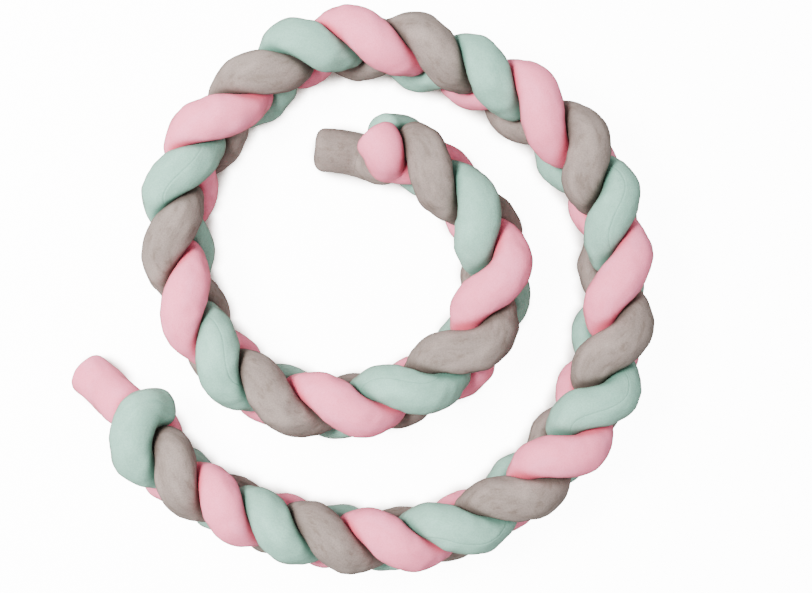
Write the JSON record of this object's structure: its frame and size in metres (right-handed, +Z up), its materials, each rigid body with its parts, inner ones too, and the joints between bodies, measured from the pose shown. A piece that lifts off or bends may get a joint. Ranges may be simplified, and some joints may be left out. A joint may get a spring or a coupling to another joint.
{
  "type": "braided crib bumper",
  "caption": "Soft crib bumper of stuffed velvet tubes plaited into a long rope, standing on its edge and laid in a loose open spiral, used to pad the inside of a crib.",
  "frame": {"origin": "middle of the bounding box's bottom face, on the surface that the bumper lies on", "axes": "+Z up out of that surface, +X to the right and +Y to the top of the picture, which looks straight down"},
  "size_m": [0.817, 0.7882, 0.1538],
  "materials": {
    "tube_pink": "short soft velvet pile",
    "tube_grey": "short soft velvet pile",
    "tube_mint": "short soft velvet pile"
  },
  "bodies": {
    "root": {"tube_pink": "tube_pink", "tube_grey": "tube_grey", "tube_mint": "tube_mint"}
  },
  "joints": []
}
